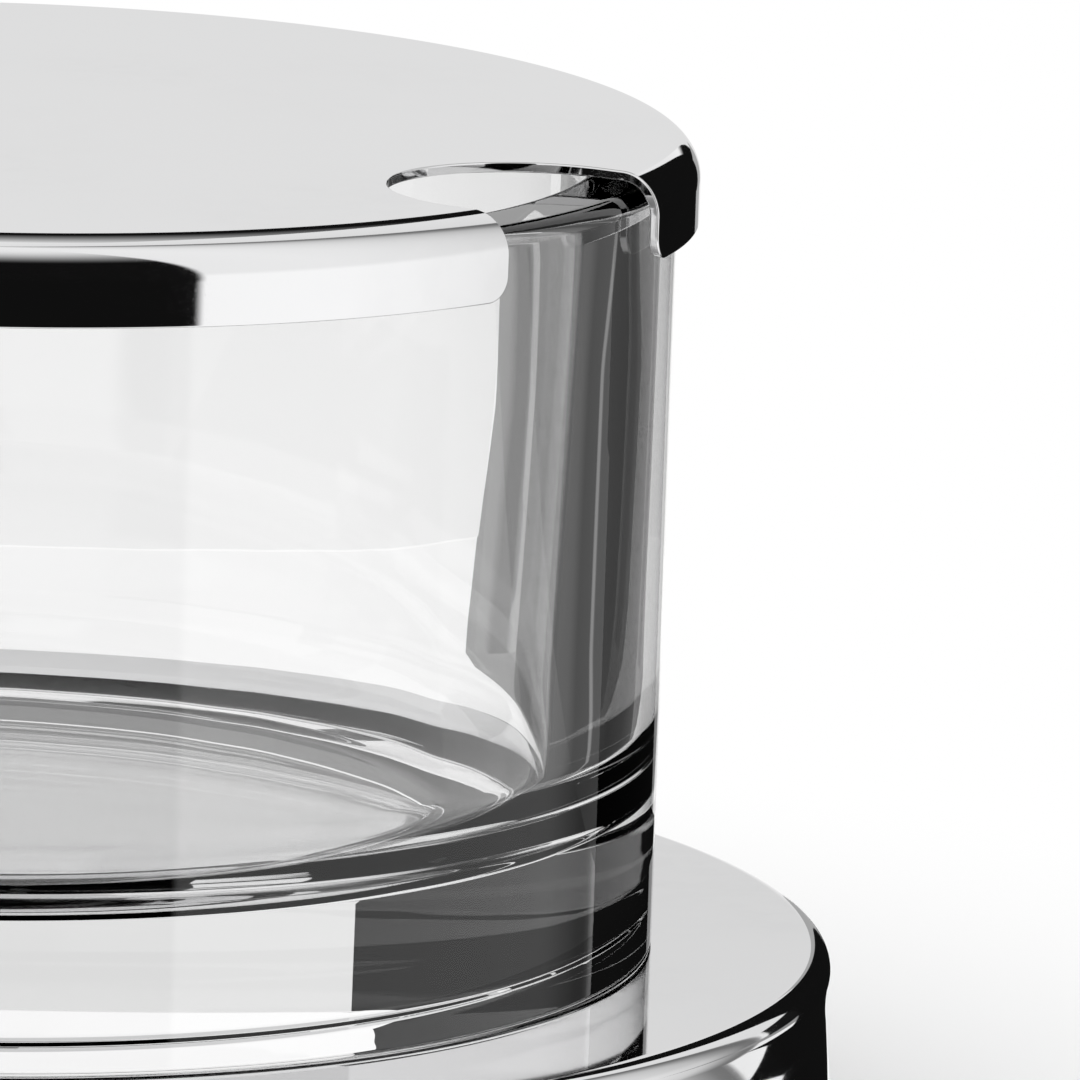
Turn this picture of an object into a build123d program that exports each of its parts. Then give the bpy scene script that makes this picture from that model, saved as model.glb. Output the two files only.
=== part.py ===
from build123d import *
import math
import os

# Cheese pot: a thick clear glass bowl on a polished steel base. Its polished steel lid has a slot for
# the spoon and turns on a hinge behind the glass.
# Frame: +Z up, origin in the middle of the underside, spoon slot towards -Y, hinge towards +Y.
# All lengths are in millimetres and all angles in degrees.

# Glass bowl
glass_radius = 55.0
glass_height = 62.7
glass_wall = 7.0
glass_floor = 9.7
glass_draft = 1.4
glass_corner_inside = 8.3
glass_rim_outer_round = 1.5
glass_rim_inner_round = 1.8
glass_foot_round = 0.5
glass_foot_width = 15.4
glass_recess = 0.3
glass_recess_slope = 0.8

# Lid pressing
lid_sheet = 0.8
lid_clearance = 0.95
lid_depth = 6.7
lid_edge_round = 3.3
slot_width = 22.0
slot_depth = 17.0
slot_corner_round = 2.0

# Soft dots between lid and glass
bumper_radius = 1.8
bumper_thickness = 0.6
bumper_gap = 0.2
bumper_count = 4

# Base pressing
base_ledge = 14.2
base_height = 18.0
base_sheet = 0.8
bead_radius = 1.8
neck_inset = 0.25
neck_radius = 12.0
skirt_flare = 5.0
hem_radius = 1.6
hem_width = 4.5
hem_lift = 0.8

# Closing plate and foot ring
plate_sheet = 0.8
plate_clearance = 0.1
channel_rise = 1.6
ring_width = 5.0
ring_margin = 2.2
ring_round = 0.8
ring_clearance = 0.1

# Hinge
hinge_sheet = 1.0
hinge_width = 20.0
pin_radius = 1.25
pin_clearance = 0.05
pin_head_radius = 2.0
pin_head_height = 1.0
pin_end_gap = 0.05
pivot_drop = 2.0
leaf_eye_width = 8.0
eye_side_gap = 0.2
curl_slit = 0.3
open_angle = 100.0

# Leaf on the lid's rim
leaf_width = 13.0
leaf_seat_gap = 0.05
leaf_eye_clearance = 0.3
leaf_edge_margin = 0.2
leaf_corner_round = 1.0
rivet_spacing = 8.8
rivet_radius = 0.8
rivet_clearance = 0.05
rivet_head_radius = 1.2
rivet_head_height = 0.6

# Bracket
bracket_bend = 1.0
bracket_corner_round = 2.0
foot_edge_margin = 1.0
tongue_width = 5.0
tongue_bend = 0.5
tongue_gap = 0.5
stop_gap = 0.1

# Fasteners of the bracket
screw_spacing = 12.0
screw_radius = 1.5
screw_hole_clearance = 0.1
screw_head_radius = 2.85
screw_head_height = 1.65
screw_end = 0.6
socket_across_flats = 2.0
socket_depth = 1.0
nut_across_flats = 5.5
nut_height = 2.4
nut_bore_clearance = 0.02
backing_sheet = 1.0
backing_width = 22.0
backing_depth = 6.0
backing_corner_round = 1.5

# The base follows the glass, with a ledge all round it
base_radius = glass_radius + base_ledge
base_flat_radius = base_radius - bead_radius

# Heights of the stack
lid_underside = base_height + glass_height + bumper_gap + bumper_thickness
lid_top = lid_underside + lid_sheet
lid_rim_bottom = lid_top - lid_depth
lid_radius = glass_radius + lid_clearance + lid_sheet
pivot_z = lid_rim_bottom - pivot_drop
eye_bore_radius = pin_radius + pin_clearance
eye_radius = eye_bore_radius + hinge_sheet
pivot_y = lid_radius + leaf_seat_gap + eye_radius
strap_front = pivot_y - eye_radius
eyes_half_width = hinge_width / 2
centre_gap_half = leaf_eye_width / 2 + eye_side_gap

# Screws stand halfway along the flat of the bracket's foot
foot_start = strap_front + hinge_sheet + bracket_bend
foot_end = base_flat_radius - foot_edge_margin
screw_y = (foot_start + foot_end) / 2


def revolved(section):
    """Body of revolution about Z from a section drawn with radius across and height up."""
    return revolve(Plane.XZ * section, axis=Axis.Z)


def across(profile, width, middle=0.0):
    """Prism along X from a profile drawn with Y across and Z up, centred on X = middle."""
    return Pos(middle, 0, 0) * extrude(Plane.YZ * profile, amount=width / 2, both=True)


def band(chain, thickness):
    """Section of sheet between a chain of curves and the same chain set in by the thickness."""
    outer = chain(0.0)
    inner = chain(thickness)
    ends = [Line(outer[0] @ 0, inner[0] @ 0), Line(outer[-1] @ 1, inner[-1] @ 1)]
    return make_face([*outer, *inner, *ends])


def rod(radius, bottom, top, x=0.0, y=0.0):
    """Upright round rod between two heights."""
    return Pos(x, y, bottom) * Cylinder(radius, top - bottom, align=(Align.CENTER, Align.CENTER, Align.MIN))


def cap_arc(radius, height):
    """Arc from the top of a shallow dome, on the axis, down to its edge."""
    sphere_radius = (radius**2 + height**2) / (2 * height)
    half_angle = math.degrees(math.asin(radius / sphere_radius))
    return CenterArc((0, height - sphere_radius), sphere_radius, 90, -half_angle)


def dome(radius, height):
    """Domed head that stands on Z = 0."""
    sides = [Line((0, 0), (radius, 0)), Line((0, height), (0, 0))]
    return revolved(make_face([cap_arc(radius, height), *sides]))


def glass_bowl():
    """Bowl with a slightly tapered bore, a thick floor and a flat shallow recess under it."""
    rim_radius = glass_radius - glass_wall
    foot_radius = glass_radius - glass_foot_width
    floor_top = base_height + glass_floor
    rim_top = base_height + glass_height
    recess_top = base_height + glass_recess
    outline = FilletPolyline(
        (foot_radius, base_height),
        (glass_radius, base_height),
        (glass_radius, rim_top),
        (rim_radius, rim_top),
        (rim_radius - glass_draft, floor_top),
        (0, floor_top),
        radius=[glass_foot_round, glass_rim_outer_round, glass_rim_inner_round, glass_corner_inside],
    )
    underside = Polyline(
        (0, floor_top),
        (0, recess_top),
        (foot_radius - glass_recess_slope, recess_top),
        (foot_radius, base_height),
    )
    return revolved(make_face([*outline.edges(), *underside.edges()]))


def lid_outline(inset):
    """Lid section from the middle of the top, round the edge and down the rim."""
    edge_centre = (lid_radius - lid_edge_round, lid_top - lid_edge_round)
    return [
        Line((0, lid_top - inset), (edge_centre[0], lid_top - inset)),
        CenterArc(edge_centre, lid_edge_round - inset, 90, -90),
        Line((lid_radius - inset, edge_centre[1]), (lid_radius - inset, lid_rim_bottom)),
    ]


def lid_shell():
    """Pressed lid with the spoon slot cut through its top and rim, and holes for the leaf's rivets."""
    lid = revolved(band(lid_outline, lid_sheet))
    round_y = slot_depth - slot_width / 2 - lid_radius
    slot_end = rod(slot_width / 2, lid_rim_bottom, lid_top, y=round_y)
    slot_way = Pos(0, round_y, lid_rim_bottom) * Box(
        slot_width, 2 * lid_radius, lid_depth, align=(Align.CENTER, Align.MAX, Align.MIN)
    )
    lid -= slot_end + slot_way
    lower_corners = lid.edges().filter_by(
        lambda edge: edge.length < 2 * lid_sheet
        and abs(edge.center().Z - lid_rim_bottom) < lid_sheet / 2
        and abs(abs(edge.center().X) - slot_width / 2) < lid_sheet
    )
    lid = fillet(lower_corners, slot_corner_round)
    return lid - rivet_holes()


def rivet_angle():
    """Angle of each rivet from the hinge's middle plane, so that it stands square to the rim."""
    return math.degrees(math.asin(rivet_spacing / 2 / lid_radius))


def rivet_height():
    """Height of the rivets: the middle of the leaf's wide part."""
    low, high = leaf_plate_heights()
    return (low + high) / 2


def leaf_plate_heights():
    """Lowest and highest edge of the leaf's wide part, which clears the bracket's eyes."""
    swing = eye_radius + leaf_eye_clearance
    low = pivot_z + math.sqrt(swing**2 - eye_bore_radius**2)
    high = lid_top - lid_edge_round - leaf_edge_margin
    return low, high


def square_to_rim(radius, start, end):
    """Pair of rods that run outwards through the rim at the rivets' places."""
    upright = rod(radius, start, end)
    lying = Pos(0, 0, rivet_height()) * Rot(-90, 0, 0) * upright
    return [Rot(0, 0, side * rivet_angle()) * lying for side in (-1, 1)]


def rivet_holes():
    """Holes for both rivets through leaf and rim."""
    start = lid_radius - 2 * lid_sheet
    end = lid_radius + 2 * hinge_sheet
    return Part() + square_to_rim(rivet_radius + rivet_clearance, start, end)


def leaf_rivets():
    """Two rivets with low domed heads outside, flush with the rim inside."""
    head_seat = lid_radius + leaf_seat_gap + hinge_sheet
    shank_end = lid_radius - lid_sheet + rivet_clearance
    head = dome(rivet_head_radius, rivet_head_height)
    rivet = rod(rivet_radius, shank_end, head_seat) + Pos(0, 0, head_seat) * head
    lying = Pos(0, 0, rivet_height()) * Rot(-90, 0, 0) * rivet
    return Compound([Rot(0, 0, side * rivet_angle()) * lying for side in (-1, 1)])


def curl_sweep():
    """Angle through which an eye is rolled, up to its slit."""
    return 360 - math.degrees(math.acos((eye_bore_radius - curl_slit) / eye_radius))


def leaf_outline(inset):
    """Leaf's neck, down its front face and round under the pin."""
    front = strap_front + inset
    return [
        Line((front, rivet_height()), (front, pivot_z)),
        CenterArc((pivot_y, pivot_z), eye_radius - inset, 180, curl_sweep()),
    ]


def hinge_leaf():
    """Leaf curved to the rim, with a neck that rolls into the middle eye of the hinge."""
    low, high = leaf_plate_heights()
    inner_radius = lid_radius + leaf_seat_gap
    sleeve = rod(inner_radius + hinge_sheet, low, high) - rod(inner_radius, low, high)
    plate_outline = Plane.XZ * Pos(0, (low + high) / 2) * RectangleRounded(
        leaf_width, high - low, leaf_corner_round
    )
    plate = sleeve & extrude(plate_outline, amount=-2 * lid_radius)
    neck = across(band(leaf_outline, hinge_sheet), leaf_eye_width)
    neck -= rod(pivot_y, low, high) - rod(inner_radius + hinge_sheet, low, high)
    bore = across(Pos(pivot_y, pivot_z) * Circle(eye_bore_radius), leaf_eye_width)
    return plate + neck - bore - rivet_holes()


def lid_bumpers():
    """Clear soft dots that hold the lid off the glass rim."""
    middle_of_rim = glass_radius - glass_wall / 2
    bottom = lid_underside - bumper_thickness
    dot = rod(bumper_radius, bottom, lid_underside, x=middle_of_rim)
    step = 360 / bumper_count
    return Compound([Rot(0, 0, step * (index + 0.5)) * dot for index in range(bumper_count)])


def hinge_pin():
    """Pin through the three eyes, with a domed head formed at each end."""
    reach = eyes_half_width + pin_end_gap
    shank = Cylinder(pin_radius, 2 * reach)
    head = dome(pin_head_radius, pin_head_height)
    pin = shank + Pos(0, 0, reach) * head + Rot(180, 0, 0) * Pos(0, 0, reach) * head
    return Pos(0, pivot_y, pivot_z) * Rot(0, 90, 0) * pin


def finger_root():
    """Height at which the strap splits into two eyes and the stop tongue."""
    tongue_top = pivot_z - eye_radius - tongue_gap
    return tongue_top - tongue_bend - hinge_sheet


def bracket_eye_outline(inset):
    """Strap's front face from the split up to the pin, over it and down behind."""
    front = strap_front + inset
    return [
        Line((front, finger_root()), (front, pivot_z)),
        CenterArc((pivot_y, pivot_z), eye_radius - inset, 180, -curl_sweep()),
    ]


def stop_height():
    """Top of the stop tongue, just under the leaf when the lid is fully open."""
    lean = math.radians(open_angle)
    reach = tongue_front() + hinge_sheet - pivot_y
    along_leaf = (reach + eye_bore_radius * math.cos(lean)) / math.sin(lean)
    return pivot_z + eye_bore_radius * math.sin(lean) + along_leaf * math.cos(lean) - stop_gap


def tongue_front():
    """Face of the tongue's upright end that looks at the middle eye."""
    return pivot_y + eye_radius + tongue_gap


def tongue_outline(inset):
    """Stop tongue: out of the strap, back under the middle eye and up behind it."""
    root = finger_root()
    low_bend = (strap_front + tongue_bend + hinge_sheet, root)
    high_bend = (tongue_front() - tongue_bend, root + tongue_bend + hinge_sheet + tongue_bend)
    low_radius = tongue_bend + hinge_sheet - inset
    high_radius = tongue_bend + inset
    return [
        Line((strap_front + inset, root - hinge_sheet), (strap_front + inset, root)),
        CenterArc(low_bend, low_radius, 180, -90),
        Line((low_bend[0], root + low_radius), (high_bend[0], root + low_radius)),
        CenterArc(high_bend, high_radius, -90, 90),
        Line((tongue_front() + inset, high_bend[1]), (tongue_front() + inset, stop_height())),
    ]


def strap_outline(inset):
    """Strap and foot: along the foot's underside, round the bend and up the front face."""
    bend_centre = (strap_front + hinge_sheet + bracket_bend, base_height + hinge_sheet + bracket_bend)
    bend_radius = bracket_bend + hinge_sheet - inset
    return [
        Line((base_radius, base_height + inset), (bend_centre[0], base_height + inset)),
        CenterArc(bend_centre, bend_radius, -90, -90),
        Line((strap_front + inset, bend_centre[1]), (strap_front + inset, finger_root())),
    ]


def hinge_bracket():
    """Upright strap on a foot, split at the top into two outer eyes and a stop tongue."""
    strap = across(band(strap_outline, hinge_sheet), hinge_width)
    inside_bead = rod(foot_end, base_height, lid_top)
    bracket = strap & inside_bead
    eye_width = eyes_half_width - centre_gap_half
    for side in (-1, 1):
        middle = side * (centre_gap_half + eye_width / 2)
        eye = across(band(bracket_eye_outline, hinge_sheet), eye_width, middle)
        bracket += eye - across(Pos(pivot_y, pivot_z) * Circle(eye_bore_radius), eye_width, middle)
    bracket += across(band(tongue_outline, hinge_sheet), tongue_width)
    foot_corners = bracket.edges().filter_by(Axis.Z).filter_by(
        lambda edge: edge.center().Y > screw_y and edge.center().Z < base_height + hinge_sheet
    )
    bracket = fillet(foot_corners, bracket_corner_round)
    return bracket - screw_holes(base_height, base_height + hinge_sheet)


def screw_places():
    """Middle of each screw in plan."""
    return [(side * screw_spacing / 2, screw_y) for side in (-1, 1)]


def screw_holes(bottom, top):
    """Clearance holes for both screws between two heights."""
    radius = screw_radius + screw_hole_clearance
    return Part() + [rod(radius, bottom, top, x, y) for x, y in screw_places()]


def backing_underside():
    """Height of the backing plate's lower face, where the nuts seat."""
    return base_height - base_sheet - backing_sheet


def bracket_screws():
    """Button-head screws with a hexagon socket, from the bracket's foot down through the nuts."""
    head_seat = base_height + hinge_sheet
    shank_end = backing_underside() - nut_height - screw_end
    head = dome(screw_head_radius, screw_head_height)
    socket_hexagon = RegularPolygon(socket_across_flats / 2, 6, major_radius=False)
    socket = Pos(0, 0, screw_head_height - socket_depth) * extrude(socket_hexagon, amount=screw_head_height)
    screw = Pos(0, 0, head_seat) * (head - socket) + rod(screw_radius, shank_end, head_seat)
    return Compound([Pos(x, y, 0) * screw for x, y in screw_places()])


def bracket_nuts():
    """Hexagon nuts against the backing plate."""
    hexagon = RegularPolygon(nut_across_flats / 2, 6, major_radius=False)
    bore = Circle(screw_radius + nut_bore_clearance)
    nut = extrude(hexagon - bore, amount=-nut_height)
    return Compound([Pos(x, y, backing_underside()) * nut for x, y in screw_places()])


def backing_plate():
    """Plate under the base's top that spreads the screws' pull."""
    outline = RectangleRounded(backing_width, backing_depth, backing_corner_round)
    plate = Pos(0, screw_y, backing_underside()) * extrude(outline, amount=backing_sheet)
    return plate - screw_holes(backing_underside(), backing_underside() + backing_sheet)


def neck_centre():
    """Centre of the hollow arc under the bead, tangent to it, as radius and height."""
    radius = base_radius - neck_inset + neck_radius
    across_centres = radius - base_flat_radius
    drop = math.sqrt((bead_radius + neck_radius) ** 2 - across_centres**2)
    return radius, base_height - bead_radius - drop


def hem_centre():
    """Centre of the hem's arc, as radius and height."""
    lean = math.radians(skirt_flare)
    neck_r, neck_z = neck_centre()
    skirt_top = (neck_r - neck_radius * math.cos(lean), neck_z - neck_radius * math.sin(lean))
    height = hem_lift + hem_radius
    skirt_bottom_z = height + hem_radius * math.sin(lean)
    skirt_bottom_r = skirt_top[0] + (skirt_top[1] - skirt_bottom_z) * math.tan(lean)
    return skirt_bottom_r - hem_radius * math.cos(lean), height


def hem_edge():
    """Radius of the hem's inner edge."""
    return hem_centre()[0] + hem_radius - hem_width


def base_outline(inset):
    """Base section: flat top, bead, neck, flared skirt and the hem rolled in underneath."""
    bead_centre = (base_flat_radius, base_height - bead_radius)
    neck = neck_centre()
    hem = hem_centre()
    turn = math.degrees(math.atan2(neck[1] - bead_centre[1], neck[0] - bead_centre[0]))
    bead = CenterArc(bead_centre, bead_radius - inset, 90, turn - 90)
    hollow = CenterArc(neck, neck_radius + inset, 180 + turn, skirt_flare - turn)
    roll = CenterArc(hem, hem_radius - inset, skirt_flare, -90 - skirt_flare)
    bottom = hem_lift + inset
    return [
        Line((0, base_height - inset), (base_flat_radius, base_height - inset)),
        bead,
        hollow,
        Line(hollow @ 1, roll @ 0),
        roll,
        Line((hem[0], bottom), (hem_edge(), bottom)),
    ]


def base_shell():
    """Pressed base with two holes for the bracket's screws."""
    shell = revolved(band(base_outline, base_sheet))
    return shell - screw_holes(base_height - base_sheet, base_height)


def ring_radius():
    """Middle radius of the foot ring, which lies just inside the hem's edge."""
    return hem_edge() - ring_margin - ring_width / 2


def base_plate():
    """Closing plate that lies on the hem, with a channel pressed up for the foot ring."""
    middle = ring_radius()
    bottom = hem_lift + base_sheet
    outer_radius = hem_centre()[0] - plate_clearance
    half_channel = ring_width / 2 + ring_clearance
    plate = rod(outer_radius, bottom, bottom + plate_sheet)
    plate += rod(middle + half_channel + plate_sheet, bottom, bottom + channel_rise + plate_sheet)
    plate -= rod(middle - half_channel - plate_sheet, bottom + plate_sheet, base_height)
    channel = rod(middle + half_channel, bottom, bottom + channel_rise)
    channel -= rod(middle - half_channel, bottom, bottom + channel_rise)
    return plate - channel


def foot_ring():
    """Soft ring that fills the plate's channel and stands on the table."""
    top = hem_lift + base_sheet + channel_rise
    section = Pos(ring_radius(), top / 2) * Rectangle(ring_width, top)
    lower_corners = section.vertices().sort_by(Axis.Y)[:2]
    return revolved(fillet(lower_corners, ring_round))


pieces = {
    "glass_bowl": glass_bowl,
    "lid_shell": lid_shell,
    "hinge_leaf": hinge_leaf,
    "leaf_rivets": leaf_rivets,
    "lid_bumpers": lid_bumpers,
    "hinge_pin": hinge_pin,
    "hinge_bracket": hinge_bracket,
    "bracket_screws": bracket_screws,
    "bracket_nuts": bracket_nuts,
    "backing_plate": backing_plate,
    "base_shell": base_shell,
    "base_plate": base_plate,
    "foot_ring": foot_ring,
}

os.makedirs("parts", exist_ok=True)
for name, make in pieces.items():
    export_step(make(), f"parts/{name}.step")
print("hinge axis", round(pivot_y, 3), round(pivot_z, 3), "lid top", round(lid_top, 3))
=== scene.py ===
"""Cheese pot seen close up: fine surfaces, finishes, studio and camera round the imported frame."""

import logging
import math
from dataclasses import dataclass, field
from enum import Enum
from functools import partial, reduce

import bpy
import numpy as np
from mathutils import Matrix, Vector


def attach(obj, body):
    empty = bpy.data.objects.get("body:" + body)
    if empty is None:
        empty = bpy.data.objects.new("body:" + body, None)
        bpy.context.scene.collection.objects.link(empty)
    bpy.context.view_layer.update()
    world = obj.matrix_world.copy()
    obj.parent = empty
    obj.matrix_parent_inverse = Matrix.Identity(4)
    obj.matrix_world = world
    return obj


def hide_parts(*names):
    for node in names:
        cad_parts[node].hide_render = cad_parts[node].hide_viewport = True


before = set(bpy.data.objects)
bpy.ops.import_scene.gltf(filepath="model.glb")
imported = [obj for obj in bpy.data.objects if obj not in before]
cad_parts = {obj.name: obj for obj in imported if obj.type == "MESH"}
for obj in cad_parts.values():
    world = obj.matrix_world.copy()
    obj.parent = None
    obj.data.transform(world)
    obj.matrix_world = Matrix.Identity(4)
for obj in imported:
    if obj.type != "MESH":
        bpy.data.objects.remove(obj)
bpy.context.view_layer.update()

log = logging.getLogger("cheese_pot")

MM = 0.001
FULL_TURN = 2 * math.pi
FULL_CIRCLE = 360.0
WHITE = (1.0, 1.0, 1.0, 1.0)
UP = (0.0, 0.0, 1.0)

Pair = tuple[float, float]
Triple = tuple[float, float, float]
Colour = tuple[float, float, float, float]
Tones = tuple[Pair, ...]
Socket = bpy.types.NodeSocket


class Body(Enum):
    """Bodies of the pot, by the record's names."""

    BASE = "base"
    LID = "lid"


class Finish(Enum):
    """Finishes of the pot, by the record's slot names."""

    CLEAR_GLASS = "clear_glass"
    POLISHED_STEEL = "polished_steel"
    PLAIN_STEEL = "plain_steel"
    CLEAR_SILICONE = "clear_silicone"
    GREY_SILICONE = "grey_silicone"


def put_in_scene(name: str, data: bpy.types.ID) -> bpy.types.Object:
    """Makes an object at the origin.

    Args:
        name: Name of the object.
        data: Its mesh, lamp or camera.

    Returns:
        The object.
    """
    thing = bpy.data.objects.new(name, data)
    bpy.context.scene.collection.objects.link(thing)
    return thing


# Turned sections


def straight(start: Pair, end: Pair, steps: int) -> np.ndarray:
    """Straight stretch of a section.

    The point at t is start + t * (end - start), for t from 0 to 1 in even steps. The way out of the material
    is the stretch's direction turned a quarter turn to the left.

    Args:
        start: Radius and height of the first point, in millimetres.
        end: Radius and height of the last point.
        steps: Number of steps between them.

    Returns:
        Rows of radius, height, and the way out along radius and height.
    """
    first, last = np.array(start, float), np.array(end, float)
    share = np.linspace(0.0, 1.0, steps + 1)[:, None]
    along = (last - first) / np.linalg.norm(last - first)
    out = np.broadcast_to((-along[1], along[0]), (steps + 1, 2))
    return np.hstack([first + share * (last - first), out])


def arc(centre: Pair, radius: float, first: float, last: float, steps: int) -> np.ndarray:
    """Round stretch of a section.

    The point at angle a is centre + radius * (cos a, sin a). The way out is (cos a, sin a) where the angle
    falls along the stretch, as on an outside corner, and its opposite where it rises, as in a hollow.

    Args:
        centre: Radius and height of the arc's centre, in millimetres.
        radius: Radius of the arc.
        first: Angle of the first point in degrees.
        last: Angle of the last point.
        steps: Number of steps between them.

    Returns:
        Rows of radius, height, and the way out along radius and height.
    """
    angles = np.radians(np.linspace(first, last, steps + 1))
    ray = np.stack([np.cos(angles), np.sin(angles)], axis=1)
    side = 1.0 if last < first else -1.0
    return np.hstack([np.array(centre) + radius * ray, side * ray])


def chain(*stretches: np.ndarray) -> np.ndarray:
    """Joins stretches into one section, each point that two of them share kept once."""
    return np.vstack([stretches[0], *(stretch[1:] for stretch in stretches[1:])])


def set_in(section: np.ndarray, depth: float) -> np.ndarray:
    """Far side of a sheet: the section moved into the material and read backwards.

    Args:
        section: Rows of radius, height and way out.
        depth: Thickness of the sheet in millimetres.

    Returns:
        Rows of the far side.
    """
    inner = section[::-1].copy()
    inner[:, :2] -= depth * inner[:, 2:]
    inner[:, 2:] *= -1
    return inner


def turned_points(section: np.ndarray, angles: np.ndarray) -> tuple[np.ndarray, np.ndarray]:
    """Carries a section round the upright axis.

    At angle a from the slot's side the point is (radius * sin a, -radius * cos a, height), and the way out
    turns with it.

    Args:
        section: Rows of radius, height and way out.
        angles: Angle of each column, the same for all rows, or a grid with a row for each point.

    Returns:
        Grid of points in metres and grid of ways out.
    """
    angles = np.broadcast_to(angles, (len(section), angles.shape[-1]))
    sine, cosine = np.sin(angles), np.cos(angles)
    radius, height, out_r, out_z = (section[:, k, None] for k in range(4))
    level = np.ones_like(angles)
    points = np.stack([radius * sine, -radius * cosine, height * level], axis=-1) * MM
    outs = np.stack([out_r * sine, -out_r * cosine, out_z * level], axis=-1)
    return points, outs


@dataclass
class Skin:
    """Closed surface that grows from grids of points.

    Attributes:
        points: Arrays of points in metres.
        outs: Arrays of ways out, one for each point.
        faces: Arrays of faces with four corners, by point number.
        count: Points so far.
    """

    points: list[np.ndarray] = field(default_factory=list)
    outs: list[np.ndarray] = field(default_factory=list)
    faces: list[np.ndarray] = field(default_factory=list)
    count: int = 0

    def lay(self, points: np.ndarray, outs: np.ndarray) -> np.ndarray:
        """Adds a grid of points.

        Args:
            points: Points, with the coordinates along the last axis.
            outs: Ways out, shaped as the points.

        Returns:
            Number of each point, in the grid's shape.
        """
        numbers = np.arange(points[..., 0].size).reshape(points.shape[:-1]) + self.count
        self.points.append(points.reshape(-1, 3))
        self.outs.append(outs.reshape(-1, 3))
        self.count += numbers.size
        return numbers

    def cover(self, grid: np.ndarray, flip: bool = False) -> None:
        """Spans a grid of point numbers with faces.

        Args:
            grid: Point numbers. A closed grid repeats its first row or column at its end.
            flip: True where rows and columns run the other way round on the outside.
        """
        corners = [grid[:-1, :-1], grid[1:, :-1], grid[1:, 1:], grid[:-1, 1:]]
        quads = np.stack([corner.ravel() for corner in corners], axis=1)
        self.faces.append(quads[:, ::-1] if flip else quads)

    def build(self, name: str) -> bpy.types.Object:
        """Makes the object, with points that no face uses left out.

        A face with two corners that are one point becomes a triangle.

        Args:
            name: Name of the piece.

        Returns:
            The new object, at the origin.
        """
        quads = np.vstack(self.faces)
        same = quads == np.roll(quads, -1, axis=1)
        whole = quads[~same.any(axis=1)]
        pinched = same.sum(axis=1) == 1
        triangles = quads[pinched][~same[pinched]].reshape(-1, 3)
        used, numbers = np.unique(np.concatenate([whole.ravel(), triangles.ravel()]), return_inverse=True)
        points = np.vstack(self.points)[used]
        outs = np.vstack(self.outs)[used]
        outs /= np.linalg.norm(outs, axis=1, keepdims=True)
        four = numbers[: whole.size].reshape(-1, 4)
        three = numbers[whole.size :].reshape(-1, 3)
        mesh = bpy.data.meshes.new(name)
        mesh.from_pydata(points.tolist(), [], four.tolist() + three.tolist())
        mesh.polygons.foreach_set("use_smooth", np.ones(len(mesh.polygons), bool))
        mesh.normals_split_custom_set_from_vertices(outs.tolist())
        mesh.update()
        log.info("%s: %d points, %d faces", name, len(points), len(mesh.polygons))
        return put_in_scene(name, mesh)


def even_turn(columns: int) -> np.ndarray:
    """Angles of a full turn in even steps, the first repeated at the end."""
    return np.linspace(0.0, FULL_TURN, columns + 1)


def quarter_turn(steps: int) -> np.ndarray:
    """Angles of a quarter turn in even steps."""
    return np.radians(np.linspace(0.0, 90.0, steps + 1))


def closed_numbers(grid: np.ndarray, poles: tuple[int, ...] = ()) -> np.ndarray:
    """Makes the last column the first one again, and each pole's row one point.

    Args:
        grid: Point numbers.
        poles: Rows that lie on the axis.

    Returns:
        The closed grid.
    """
    closed = grid.copy()
    closed[:, -1] = closed[:, 0]
    for pole in poles:
        closed[pole, :] = closed[pole, 0]
    return closed


# Shader work


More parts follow.
